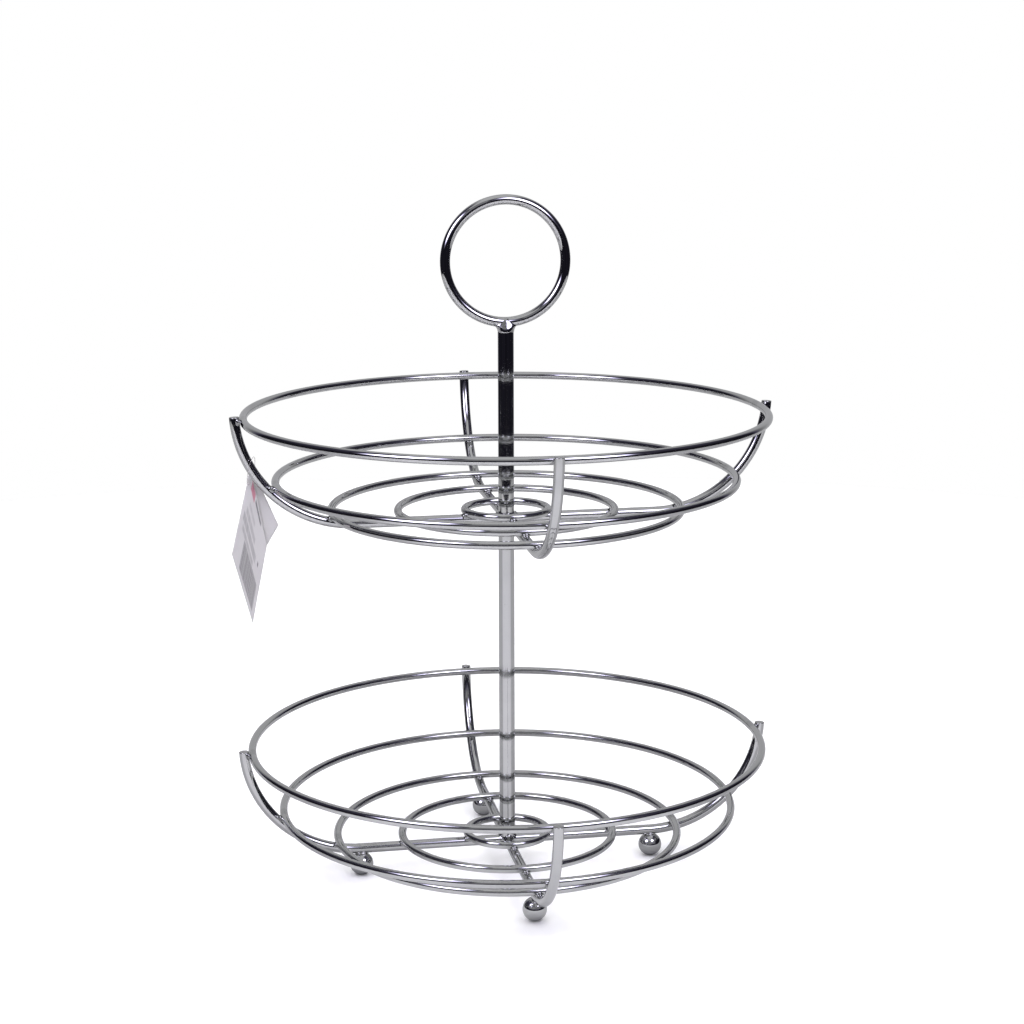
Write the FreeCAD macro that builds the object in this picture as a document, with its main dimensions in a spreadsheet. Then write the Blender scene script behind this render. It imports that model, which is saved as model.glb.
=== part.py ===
import FreeCAD, Part

import math
import os

import Sketcher

# Two-tier wire stand: two round wire baskets on one central post, with a ring handle on top
# and four ball feet.  Millimetres, +Z up.  The origin is on the table under the post's axis.
# The four wire ribs of each basket lie along +X, -X, +Y and -Y.

doc = FreeCAD.newDocument("TieredStand")

DIMENSIONS = [
    # wires
    ("ring_wire_dia", 4.0),
    ("rib_wire_dia", 5.0),
    ("handle_wire_dia", 5.0),
    ("weld_sink", 0.25),
    # one basket: ribs run flat from the centre, then bend up the side in one arc
    ("rib_flat_reach", 76.3),
    ("rib_bend_radius", 58.2),
    ("rib_bend_sweep", 87.0),
    ("arm_inner_reach", 4.4),
    # rings on the flat of the ribs, by radius
    ("hub_ring_radius", 20.8),
    ("inner_ring_radius", 54.4),
    # rings inside the bend of the ribs, by their angle round the bend
    ("floor_ring_angle", 12.1),
    ("side_ring_angle", 45.8),
    ("rim_ring_angle", 84.5),
    ("tier_spacing", 170.4),
    # feet
    ("foot_ball_dia", 12.0),
    ("foot_sink", 0.5),
    ("foot_reach", 76.0),
    # post and its screwed joint
    ("post_outer_dia", 8.0),
    ("post_bore_dia", 6.4),
    ("press_allowance", 0.04),
    ("hub_dia", 10.0),
    ("hub_height", 6.0),
    ("hub_bore_dia", 5.3),
    ("hub_edge_chamfer", 0.5),
    ("insert_length", 14.0),
    ("insert_bore_dia", 5.1),
    ("stud_dia", 5.0),
    ("stud_reach", 17.0),
    ("stud_root_length", 14.0),
    ("stud_tip_chamfer", 0.8),
    # handle
    ("handle_radius", 30.0),
    ("handle_centre_height", 312.95),
    ("saddle_root_length", 9.0),
    ("saddle_height", 3.0),
    ("saddle_top_dia", 6.4),
    # folded paper tag on a small loop round the left rib of the upper basket
    ("tag_hang_angle", 60.0),
    ("tag_lean", 7.4),
    ("tag_behind_rib", 4.3),
    ("tag_thickness", 0.6),
    ("tag_top", 2.0),
    ("tag_left_reach", 8.6),
    ("tag_left_drop", 41.0),
    ("tag_bottom_drop", 74.0),
    ("tag_notch_reach", 7.2),
    ("tag_notch_drop", 36.5),
    ("tag_right_reach", 12.6),
    ("tag_right_drop", 27.0),
    ("tag_hole_dia", 3.0),
    ("tag_hole_across", 0.3),
    ("tag_hole_drop", 6.5),
    ("loop_radius", 7.0),
    ("loop_thread_dia", 1.0),
    ("loop_drop", 0.75),
    ("loop_turn", -15.0),
    ("loop_tilt", 12.0),
]

sheet = doc.addObject("Spreadsheet::Sheet", "Dims")
for row, (alias, number) in enumerate(DIMENSIONS, start=1):
    sheet.set("A%d" % row, alias)
    sheet.set("B%d" % row, str(number))
    sheet.setAlias("B%d" % row, alias)
doc.recompute()


def size(alias):
    """The sheet's value of one driving dimension."""
    return float(sheet.get(alias))


# Heights of the rib wires' centre line above the table, as expressions
LOWER_RIB_HEIGHT = "(Dims.foot_ball_dia - Dims.foot_sink + Dims.rib_wire_dia / 2)"
RIB_HEIGHT = {
    "lower": LOWER_RIB_HEIGHT,
    "upper": "(%s + Dims.tier_spacing)" % LOWER_RIB_HEIGHT,
}
# Distance from a rib's bend centre to the centre of a ring wire welded inside the bend
SEAT_DISTANCE = ("(Dims.rib_bend_radius - Dims.rib_wire_dia / 2"
                 " - Dims.ring_wire_dia / 2 + Dims.weld_sink)")
LOWER_POST_BOTTOM = "(%s + Dims.rib_wire_dia / 2 - Dims.weld_sink)" % LOWER_RIB_HEIGHT
LOWER_POST_TOP = "(%s - Dims.hub_height / 2)" % RIB_HEIGHT["upper"]
UPPER_POST_BOTTOM = "(%s + Dims.hub_height / 2)" % RIB_HEIGHT["upper"]
UPPER_POST_TOP = ("(Dims.handle_centre_height - Dims.handle_radius"
                  " - Dims.handle_wire_dia / 2 - Dims.saddle_height / 2)")

X_AXIS = FreeCAD.Vector(1, 0, 0)
Y_AXIS = FreeCAD.Vector(0, 1, 0)
Z_AXIS = FreeCAD.Vector(0, 0, 1)
ORIGIN_POINT = (-1, 1)      # Sketcher's numbers for the sketch origin and its horizontal axis
HORIZONTAL_AXIS = -1

subparts = []


def keep(piece, name):
    """Names a finished sub-part and puts it on the list of pieces to write."""
    piece.Label = name
    subparts.append(piece)
    return piece


def set_height(piece, expression):
    piece.setExpression("Placement.Base.z", expression)


def origin_plane(body, role):
    return next(item for item in body.Origin.OriginFeatures if item.Role == role)


def plane_sketch(body, name, role, offset=None):
    """A sketch on one of the body's own origin planes, moved along its normal by offset."""
    sketch = body.newObject("Sketcher::SketchObject", name)
    sketch.AttachmentSupport = [(origin_plane(body, role), "")]
    sketch.MapMode = "FlatFace"
    if offset:
        sketch.setExpression("AttachmentOffset.Base.z", offset)
    return sketch


def bind(sketch, constraint, name, expression):
    """Adds a constraint to a sketch and ties its value to the sheet."""
    index = sketch.addConstraint(constraint)
    sketch.renameConstraint(index, name)
    sketch.setExpression("Constraints." + name, expression)


def circle(sketch, name, diameter_expression, start_radius):
    """A circle round the sketch origin with its diameter tied to the sheet."""
    at_origin = FreeCAD.Vector(0, 0, 0)
    index = sketch.addGeometry(Part.Circle(at_origin, Z_AXIS, start_radius), False)
    sketch.addConstraint(Sketcher.Constraint("Coincident", index, 3, *ORIGIN_POINT))
    bind(sketch, Sketcher.Constraint("Diameter", index, 2 * start_radius), name, diameter_expression)


def fix_point(sketch, geometry, vertex, name, across, up):
    """Ties one point's two coordinates to the sheet: (sign, expression) for each."""
    for kind, suffix, (sign, expression) in (("DistanceX", "_across", across), ("DistanceY", "_up", up)):
        first, second = ORIGIN_POINT, (geometry, vertex)
        if sign < 0:
            first, second = second, first
        bind(sketch, Sketcher.Constraint(kind, *first, *second, 1.0), name + suffix, expression)


# ---------------------------------------------------------------- rings

def flat_ring(name, tier, radius_alias):
    """A wire ring lying on the flat of a basket's ribs."""
    ring = doc.addObject("Part::Torus", name)
    ring.setExpression("Radius1", "Dims." + radius_alias)
    ring.setExpression("Radius2", "Dims.ring_wire_dia / 2")
    set_height(ring, RIB_HEIGHT[tier] + " + Dims.rib_wire_dia / 2 + Dims.ring_wire_dia / 2"
               " - Dims.weld_sink")
    keep(ring, name)


def bend_ring(name, tier, angle_alias):
    """A wire ring welded inside the bend of a basket's ribs."""
    ring = doc.addObject("Part::Torus", name)
    ring.setExpression("Radius1", "Dims.rib_flat_reach + %s * sin(Dims.%s)" % (SEAT_DISTANCE, angle_alias))
    ring.setExpression("Radius2", "Dims.ring_wire_dia / 2")
    set_height(ring, "%s + Dims.rib_bend_radius - %s * cos(Dims.%s)"
               % (RIB_HEIGHT[tier], SEAT_DISTANCE, angle_alias))
    keep(ring, name)


for tier in ("lower", "upper"):
    flat_ring(tier + "_hub_ring", tier, "hub_ring_radius")
    flat_ring(tier + "_inner_ring", tier, "inner_ring_radius")
    bend_ring(tier + "_floor_ring", tier, "floor_ring_angle")
    bend_ring(tier + "_side_ring", tier, "side_ring_angle")
    bend_ring(tier + "_rim_ring", tier, "rim_ring_angle")


# ---------------------------------------------------------------- ribs

def rib_path(body, start_expression, start):
    """The centre line of one rib: flat from its start, then one arc up the side."""
    path = plane_sketch(body, body.Name + "_path", "XZ_Plane")
    reach = size("rib_flat_reach")
    radius = size("rib_bend_radius")
    bend_start = math.radians(-90)
    bend_end = math.radians(size("rib_bend_sweep") - 90)
    flat = path.addGeometry(Part.LineSegment(FreeCAD.Vector(start, 0, 0), FreeCAD.Vector(reach, 0, 0)), False)
    bend_circle = Part.Circle(FreeCAD.Vector(reach, radius, 0), Z_AXIS, radius)
    bend = path.addGeometry(Part.ArcOfCircle(bend_circle, bend_start, bend_end), False)
    if start_expression:
        path.addConstraint(Sketcher.Constraint("PointOnObject", flat, 1, HORIZONTAL_AXIS))
        bind(path, Sketcher.Constraint("DistanceX", *ORIGIN_POINT, flat, 1, start), "start", start_expression)
    else:
        path.addConstraint(Sketcher.Constraint("Coincident", flat, 1, *ORIGIN_POINT))
    path.addConstraint(Sketcher.Constraint("Horizontal", flat))
    bind(path, Sketcher.Constraint("DistanceX", *ORIGIN_POINT, flat, 2, reach), "reach", "Dims.rib_flat_reach")
    path.addConstraint(Sketcher.Constraint("Tangent", flat, 2, bend, 1))
    bind(path, Sketcher.Constraint("Radius", bend, radius), "bend", "Dims.rib_bend_radius")
    bind(path, Sketcher.Constraint("Angle", bend, bend_end - bend_start), "sweep", "Dims.rib_bend_sweep")
    return path


def rib_arm(name, start_expression="", start=0.0):
    """One rib arm: a round wire swept along its centre line."""
    body = doc.addObject("PartDesign::Body", name)
    path = rib_path(body, start_expression, start)
    section = plane_sketch(body, name + "_section", "YZ_Plane", start_expression)
    circle(section, "wire", "Dims.rib_wire_dia", size("rib_wire_dia") / 2)
    doc.recompute()
    pipe = body.newObject("PartDesign::AdditivePipe", name + "_wire")
    pipe.Profile = section
    pipe.Spine = path
    doc.recompute()
    return body, pipe


def lap_notch(body, upward):
    """Half the wire's depth taken away over one wire's width, where two ribs cross."""
    name = body.Name + "_lap"
    half_width = size("rib_wire_dia") / 2
    half_across = size("rib_wire_dia")
    sketch = plane_sketch(body, name + "_outline", "XY_Plane")
    corners = [(-half_width, -half_across), (half_width, -half_across),
               (half_width, half_across), (-half_width, half_across)]
    points = [FreeCAD.Vector(across, along, 0) for across, along in corners]
    for index in range(4):
        sketch.addGeometry(Part.LineSegment(points[index], points[(index + 1) % 4]), False)
    for index in range(4):
        sketch.addConstraint(Sketcher.Constraint("Coincident", index, 2, (index + 1) % 4, 1))
        sketch.addConstraint(Sketcher.Constraint("Horizontal" if index % 2 == 0 else "Vertical", index))
    bind(sketch, Sketcher.Constraint("DistanceX", 0, 1, 0, 2, 2 * half_width), "width", "Dims.rib_wire_dia")
    bind(sketch, Sketcher.Constraint("DistanceX", *ORIGIN_POINT, 0, 2, half_width), "half_width",
         "Dims.rib_wire_dia / 2")
    bind(sketch, Sketcher.Constraint("DistanceY", 1, 1, 1, 2, 2 * half_across), "across",
         "2 * Dims.rib_wire_dia")
    bind(sketch, Sketcher.Constraint("DistanceY", *ORIGIN_POINT, 1, 2, half_across), "half_across",
         "Dims.rib_wire_dia")
    doc.recompute()
    volume_before = body.Shape.Volume
    pocket = body.newObject("PartDesign::Pocket", name)
    pocket.Profile = sketch
    pocket.setExpression("Length", "Dims.rib_wire_dia")
    pocket.Reversed = upward
    doc.recompute()
    half_wire = math.pi * half_width ** 2 / 2 * 2 * half_width
    removed = volume_before - body.Shape.Volume
    if abs(removed - half_wire) > 0.02 * half_wire:
        raise RuntimeError("%s removed %.2f mm3, not %.2f" % (name, removed, half_wire))


def through_rib(name, turn, notch_upward):
    """A rib that runs right through the centre: one arm, mirrored, then half-lapped."""
    body, pipe = rib_arm(name)
    mirror = body.newObject("PartDesign::Mirrored", name + "_mirror")
    mirror.Originals = [pipe]
    mirror.MirrorPlane = (origin_plane(body, "YZ_Plane"), [""])
    body.Tip = mirror
    doc.recompute()
    lap_notch(body, notch_upward)
    body.Placement.Rotation = FreeCAD.Rotation(Z_AXIS, turn)
    set_height(body, RIB_HEIGHT["lower"])
    keep(body, name)


through_rib("lower_rib_side_to_side", 0, False)
through_rib("lower_rib_front_to_back", 90, True)

# In the upper basket the post's screw goes through the centre, so four arms meet at a hub.
ARM_TURNS = {"right": 0, "back": 90, "left": 180, "front": 270}
for side, turn in ARM_TURNS.items():
    arm_name = "upper_rib_" + side
    arm, arm_wire = rib_arm(arm_name, "Dims.arm_inner_reach", size("arm_inner_reach"))
    arm.Placement.Rotation = FreeCAD.Rotation(Z_AXIS, turn)
    set_height(arm, RIB_HEIGHT["upper"])
    keep(arm, arm_name)


# ---------------------------------------------------------------- turned and tube pieces

def tube(name, outer, bore, length, height):
    """A round tube standing on the given height.  All four are expressions."""
    body = doc.addObject("PartDesign::Body", name)
    section = plane_sketch(body, name + "_section", "XY_Plane")
    circle(section, "outer", outer, 4.0)
    circle(section, "bore", bore, 3.0)
    pad = body.newObject("PartDesign::Pad", name + "_pad")
    pad.Profile = section
    pad.setExpression("Length", length)
    set_height(body, height)
    doc.recompute()
    return keep(body, name)


def round_pad(body, name, diameter, length, downward=False):
    """A solid round boss on the body's XY plane, pointing up or down."""
    section = plane_sketch(body, name + "_section", "XY_Plane")
    circle(section, "outer", diameter, 3.0)
    pad = body.newObject("PartDesign::Pad", name)
    pad.Profile = section
    pad.setExpression("Length", length)
    pad.Reversed = downward
    doc.recompute()
    return pad


def round_edges_at(shape, height, radius):
    """Names of the full-circle edges at one height and radius."""
    names = []
    for number, edge in enumerate(shape.Edges, start=1):
        curve = edge.Curve
        if isinstance(curve, Part.Circle) and abs(curve.Center.z - height) < 1e-6:
            if abs(curve.Radius - radius) < 1e-6:
                names.append("Edge%d" % number)
    return names


def chamfer(body, feature, edges, size_expression):
    bevel = body.newObject("PartDesign::Chamfer", body.Name + "_chamfer")
    bevel.Base = (feature, edges)
    bevel.setExpression("Size", size_expression)
    doc.recompute()


tube("lower_post", "Dims.post_outer_dia", "Dims.post_bore_dia",
     "%s - %s" % (LOWER_POST_TOP, LOWER_POST_BOTTOM), LOWER_POST_BOTTOM)
tube("lower_post_insert", "Dims.post_bore_dia + Dims.press_allowance", "Dims.insert_bore_dia",
     "Dims.insert_length", LOWER_POST_TOP + " - Dims.insert_length")
tube("upper_post", "Dims.post_outer_dia", "Dims.post_bore_dia",
     "%s - %s" % (UPPER_POST_TOP, UPPER_POST_BOTTOM), UPPER_POST_BOTTOM)

hub = tube("upper_hub", "Dims.hub_dia", "Dims.hub_bore_dia", "Dims.hub_height", LOWER_POST_TOP)
hub_pad = hub.Tip
hub_rims = [edge for level in (0, size("hub_height"))
            for edge in round_edges_at(hub_pad.Shape, level, size("hub_dia") / 2)]
chamfer(hub, hub_pad, hub_rims, "Dims.hub_edge_chamfer")

# The stud: its root is pressed into the upper post, its screw reaches down through the hub.
stud = doc.addObject("PartDesign::Body", "handle_stud")
round_pad(stud, "stud_root", "Dims.post_bore_dia + Dims.press_allowance", "Dims.stud_root_length")
stud_screw = round_pad(stud, "stud_screw", "Dims.stud_dia", "Dims.stud_reach", downward=True)
stud_tip = round_edges_at(stud_screw.Shape, -size("stud_reach"), size("stud_dia") / 2)
chamfer(stud, stud_screw, stud_tip, "Dims.stud_tip_chamfer")
set_height(stud, UPPER_POST_BOTTOM)
keep(stud, "handle_stud")


# ---------------------------------------------------------------- feet

for side, turn in ARM_TURNS.items():
    foot = doc.addObject("Part::Sphere", "foot_" + side)
    foot.setExpression("Radius", "Dims.foot_ball_dia / 2")
    foot.setExpression("Placement.Base.x", "Dims.foot_reach * cos(%d)" % turn)
    foot.setExpression("Placement.Base.y", "Dims.foot_reach * sin(%d)" % turn)
    set_height(foot, "Dims.foot_ball_dia / 2")
    keep(foot, "foot_" + side)


# ---------------------------------------------------------------- handle

def handle_torus(name):
    """The handle ring stands upright in the plane of the side-to-side ribs."""
    ring = doc.addObject("Part::Torus", name)
    ring.setExpression("Radius1", "Dims.handle_radius")
    ring.setExpression("Radius2", "Dims.handle_wire_dia / 2")
    ring.Placement.Rotation = FreeCAD.Rotation(X_AXIS, 90)
    set_height(ring, "Dims.handle_centre_height")
    return ring


keep(handle_torus("handle_ring"), "handle_ring")

# The saddle closes the post's top and carries the ring: a plug in the bore, then a short
# cone up the sides of the ring's wire, with the wire's own round cut out of it.
saddle_plug = doc.addObject("Part::Cylinder", "saddle_plug")
saddle_plug.setExpression("Radius", "(Dims.post_bore_dia + Dims.press_allowance) / 2")
saddle_plug.setExpression("Height", "Dims.saddle_root_length")
set_height(saddle_plug, UPPER_POST_TOP + " - Dims.saddle_root_length")
saddle_cone = doc.addObject("Part::Cone", "saddle_cone")
saddle_cone.setExpression("Radius1", "Dims.post_outer_dia / 2")
saddle_cone.setExpression("Radius2", "Dims.saddle_top_dia / 2")
saddle_cone.setExpression("Height", "Dims.saddle_height")
set_height(saddle_cone, UPPER_POST_TOP)
saddle_blank = doc.addObject("Part::Fuse", "saddle_blank")
saddle_blank.Base = saddle_plug
saddle_blank.Tool = saddle_cone
saddle = doc.addObject("Part::Cut", "handle_saddle")
saddle.Base = saddle_blank
saddle.Tool = handle_torus("saddle_groove")
keep(saddle, "handle_saddle")


# ---------------------------------------------------------------- hang tag

# The tag hangs from a point on the bend of the left rib, by a loop round the wire.
hang_angle = math.radians(size("tag_hang_angle"))
hang_out = size("rib_flat_reach") + size("rib_bend_radius") * math.sin(hang_angle)
upper_rib_height = (size("foot_ball_dia") - size("foot_sink") + size("rib_wire_dia") / 2
                    + size("tier_spacing"))
hang_up = upper_rib_height + size("rib_bend_radius") * (1 - math.cos(hang_angle))
hang_point = FreeCAD.Vector(-hang_out, 0, hang_up)
# It leans so that its weight is under the wire although it hangs behind it.
lean = FreeCAD.Rotation(X_AXIS, -size("tag_lean"))

tag = doc.addObject("PartDesign::Body", "hang_tag")
tag_outline = plane_sketch(tag, "tag_outline", "XZ_Plane", "-Dims.tag_behind_rib")
TAG_CORNERS = [
    ("top", (1, "0"), (1, "Dims.tag_top")),
    ("left", (-1, "Dims.tag_left_reach"), (-1, "Dims.tag_left_drop")),
    ("bottom", (1, "0"), (-1, "Dims.tag_bottom_drop")),
    ("notch", (1, "Dims.tag_notch_reach"), (-1, "Dims.tag_notch_drop")),
    ("right", (1, "Dims.tag_right_reach"), (-1, "Dims.tag_right_drop")),
]


def corner_value(expression):
    alias = expression.replace("Dims.", "")
    return 0.0 if alias == "0" else size(alias)


tag_points = [FreeCAD.Vector(across[0] * corner_value(across[1]), up[0] * corner_value(up[1]), 0)
              for name, across, up in TAG_CORNERS]
for index, point in enumerate(tag_points):
    tag_outline.addGeometry(Part.LineSegment(point, tag_points[(index + 1) % len(tag_points)]), False)
for index, (corner, across, up) in enumerate(TAG_CORNERS):
    following = (index + 1) % len(TAG_CORNERS)
    tag_outline.addConstraint(Sketcher.Constraint("Coincident", index, 2, following, 1))
for index, (corner, across, up) in enumerate(TAG_CORNERS):
    fix_point(tag_outline, index, 1, corner, across, up)
hole_centre = FreeCAD.Vector(size("tag_hole_across"), -size("tag_hole_drop"), 0)
hole = tag_outline.addGeometry(Part.Circle(hole_centre, Z_AXIS, size("tag_hole_dia") / 2), False)
bind(tag_outline, Sketcher.Constraint("Diameter", hole, size("tag_hole_dia")), "hole", "Dims.tag_hole_dia")
fix_point(tag_outline, hole, 3, "hole_centre", (1, "Dims.tag_hole_across"), (-1, "Dims.tag_hole_drop"))
tag_pad = tag.newObject("PartDesign::Pad", "tag_card")
tag_pad.Profile = tag_outline
tag_pad.SideType = "Symmetric"
tag_pad.setExpression("Length", "Dims.tag_thickness")
tag.Placement = FreeCAD.Placement(hang_point, lean)
keep(tag, "hang_tag")

tag_loop = doc.addObject("Part::Torus", "tag_loop")
tag_loop.setExpression("Radius1", "Dims.loop_radius")
tag_loop.setExpression("Radius2", "Dims.loop_thread_dia / 2")
loop_upright = FreeCAD.Rotation(Z_AXIS, size("loop_turn")) * FreeCAD.Rotation(Y_AXIS, size("loop_tilt"))
loop_centre = hang_point + (lean * loop_upright).multVec(FreeCAD.Vector(0, 0, -size("loop_drop")))
tag_loop.Placement = FreeCAD.Placement(loop_centre, lean * loop_upright * FreeCAD.Rotation(Y_AXIS, 90))
keep(tag_loop, "tag_loop")


# ---------------------------------------------------------------- check and write

doc.recompute()
for item in doc.Objects:
    if "Invalid" in item.State or "Error" in item.State:
        raise RuntimeError("%s did not build: %s" % (item.Name, item.State))
for piece in subparts:
    shape = piece.Shape
    if shape.isNull() or not shape.isValid() or len(shape.Solids) != 1:
        raise RuntimeError("%s is not one valid solid" % piece.Label)

os.makedirs("parts", exist_ok=True)
for piece in subparts:
    piece.Shape.exportStep("parts/%s.step" % piece.Label)
    box = piece.Shape.BoundBox
    print("%-26s %9.1f mm3   z %7.2f to %7.2f" % (piece.Label, piece.Shape.Volume, box.ZMin, box.ZMax))
print(len(subparts), "sub-parts")
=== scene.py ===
import math
import random

import bmesh
import bpy
from mathutils import Matrix, Vector


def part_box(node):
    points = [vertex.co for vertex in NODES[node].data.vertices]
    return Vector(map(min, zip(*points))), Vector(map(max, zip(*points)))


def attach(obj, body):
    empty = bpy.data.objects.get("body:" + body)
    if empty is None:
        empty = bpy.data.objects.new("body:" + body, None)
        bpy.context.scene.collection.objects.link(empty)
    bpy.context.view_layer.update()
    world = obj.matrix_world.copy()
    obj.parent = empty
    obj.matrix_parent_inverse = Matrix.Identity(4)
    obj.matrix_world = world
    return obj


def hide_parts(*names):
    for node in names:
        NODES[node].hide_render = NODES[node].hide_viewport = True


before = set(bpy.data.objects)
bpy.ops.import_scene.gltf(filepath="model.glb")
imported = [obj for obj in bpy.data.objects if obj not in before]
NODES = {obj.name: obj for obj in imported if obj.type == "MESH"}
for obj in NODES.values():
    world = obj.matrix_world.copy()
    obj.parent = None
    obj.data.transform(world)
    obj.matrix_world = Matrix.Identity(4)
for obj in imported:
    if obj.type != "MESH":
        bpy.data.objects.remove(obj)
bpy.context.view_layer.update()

# Two-tier chromed wire stand.  Metres, +Z up, the post on the Z axis, ribs along X and Y.

MM = 0.001
X_AXIS = Vector((1, 0, 0))
Y_AXIS = Vector((0, 1, 0))
Z_AXIS = Vector((0, 0, 1))
SIDES = {"right": 0, "back": 90, "left": 180, "front": 270}
RINGS = ["hub_ring", "inner_ring", "floor_ring", "side_ring", "rim_ring"]
TIERS = ["lower", "upper"]

random.seed(7)


# ---------------------------------------------------------------- sizes read from the frame

def box_size(node):
    low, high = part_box(node)
    return high - low


def middle(node):
    low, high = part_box(node)
    return (low + high) / 2


RING_WIRE = box_size("lower_hub_ring").z / 2
RIB_WIRE = box_size("lower_rib_side_to_side").y / 2
POST = box_size("upper_post").x / 2
BALL = box_size("foot_right").z / 2
HUB = box_size("upper_hub").x / 2
FOOT_REACH = middle("foot_right").x
HANDLE_CENTRE = middle("handle_ring")
HANDLE_WIRE = box_size("handle_ring").y / 2
HANDLE_RADIUS = box_size("handle_ring").x / 2 - HANDLE_WIRE
RIB_HEIGHT = {
    "lower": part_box("lower_rib_side_to_side")[0].z + RIB_WIRE,
    "upper": middle("upper_hub").z,
}
WELD_SINK = 0.25 * MM           # how far two welded wires sink into each other
FLAT_REACH = 76.3 * MM          # a rib is flat out to here, then bends up the side
BEND_RADIUS = 58.2 * MM


# ---------------------------------------------------------------- shader helpers

def new_material(name):
    """A material with one Principled shader on its output."""
    material = bpy.data.materials.new(name)
    material.use_nodes = True
    tree = material.node_tree
    tree.nodes.clear()
    output = tree.nodes.new("ShaderNodeOutputMaterial")
    shader = tree.nodes.new("ShaderNodeBsdfPrincipled")
    tree.links.new(shader.outputs["BSDF"], output.inputs["Surface"])
    return material, tree, shader


def put(tree, socket, value):
    """Links a socket to another one, or sets its value."""
    if isinstance(value, bpy.types.NodeSocket):
        tree.links.new(value, socket)
    else:
        socket.default_value = value


def maths(tree, operation, first, second=0.0, clamp=False):
    node = tree.nodes.new("ShaderNodeMath")
    node.operation = operation
    node.use_clamp = clamp
    put(tree, node.inputs[0], first)
    put(tree, node.inputs[1], second)
    return node.outputs[0]


def span(tree, value, low, high, to_low=0.0, to_high=1.0):
    """value from low..high to to_low..to_high, smoothly and clamped."""
    node = tree.nodes.new("ShaderNodeMapRange")
    node.interpolation_type = "SMOOTHSTEP"
    put(tree, node.inputs["Value"], value)
    node.inputs["From Min"].default_value = low
    node.inputs["From Max"].default_value = high
    node.inputs["To Min"].default_value = to_low
    node.inputs["To Max"].default_value = to_high
    return node.outputs["Result"]


def noise(tree, vector, scale, detail=2.0, roughness=0.5):
    node = tree.nodes.new("ShaderNodeTexNoise")
    put(tree, node.inputs["Vector"], vector)
    node.inputs["Scale"].default_value = scale
    node.inputs["Detail"].default_value = detail
    node.inputs["Roughness"].default_value = roughness
    return node.outputs["Fac"]


def mix_colour(tree, factor, first, second):
    node = tree.nodes.new("ShaderNodeMix")
    node.data_type = "RGBA"
    put(tree, node.inputs["Factor"], factor)
    put(tree, node.inputs["A"], first)
    put(tree, node.inputs["B"], second)
    return node.outputs["Result"]


def object_axes(tree):
    """The object coordinates and their three parts, in metres."""
    coordinates = tree.nodes.new("ShaderNodeTexCoord").outputs["Object"]
    split = tree.nodes.new("ShaderNodeSeparateXYZ")
    put(tree, split.inputs[0], coordinates)
    return coordinates, split.outputs["X"], split.outputs["Y"], split.outputs["Z"]


def distance(tree, first, second):
    """How far a point is from the origin, from two of its coordinates."""
    squares = maths(tree, "ADD", maths(tree, "MULTIPLY", first, first),
                    maths(tree, "MULTIPLY", second, second))
    return maths(tree, "SQRT", squares)


def combine(tree, x, y, z):
    node = tree.nodes.new("ShaderNodeCombineXYZ")
    for socket, value in zip(node.inputs, (x, y, z)):
        put(tree, socket, value)
    return node.outputs[0]


def bump(tree, height, distance, normal=None):
    node = tree.nodes.new("ShaderNodeBump")
    put(tree, node.inputs["Height"], height)
    node.inputs["Distance"].default_value = distance
    node.inputs["Strength"].default_value = 1.0
    if normal:
        put(tree, node.inputs["Normal"], normal)
    return node.outputs["Normal"]


# ---------------------------------------------------------------- materials

MARK_STRETCH = (60, 2600, 2600)         # drawing marks per metre: along the wire, then across
CHROME_LIGHT = (0.555, 0.56, 0.555, 1)
# Duller chrome for finger haze, also used as painted shade at the ring welds
CHROME_DULL_AND_SHADED = (0.45, 0.455, 0.45, 1)
CHROME_PITTED = (0.34, 0.34, 0.345, 1)
CHROME_EDGE = (0.90, 0.90, 0.91, 1)


def wire_coordinates(tree, course):
    """Coordinates that run along a wire: (along, across, across), in metres."""
    coordinates, x, y, z = object_axes(tree)
    if course == "round_post":
        radius = distance(tree, x, y)
        along = maths(tree, "MULTIPLY", maths(tree, "ARCTAN2", y, x), radius)
        return coordinates, combine(tree, along, radius, z)
    if course == "round_handle":
        up = maths(tree, "SUBTRACT", z, HANDLE_CENTRE.z)
        radius = distance(tree, x, up)
        along = maths(tree, "MULTIPLY", maths(tree, "ARCTAN2", up, x), HANDLE_RADIUS)
        return coordinates, combine(tree, along, radius, y)
    if course == "along_x":
        return coordinates, combine(tree, maths(tree, "ADD", x, z), y, 0.0)
    if course == "along_y":
        return coordinates, combine(tree, maths(tree, "ADD", y, z), x, 0.0)
    if course == "along_z":
        turn = maths(tree, "MULTIPLY", maths(tree, "ARCTAN2", y, x), POST)
        return coordinates, combine(tree, z, turn, 0.0)
    return coordinates, coordinates


def weld_nearness(tree, x, y, reach):
    """1 where a ring crosses a rib, falling to 0 at reach: every rib is on the X or Y axis."""
    off_axis = maths(tree, "MINIMUM", maths(tree, "ABSOLUTE", x), maths(tree, "ABSOLUTE", y))
    return span(tree, off_axis, RIB_WIRE, RIB_WIRE + reach, 1.0, 0.0)


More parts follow.
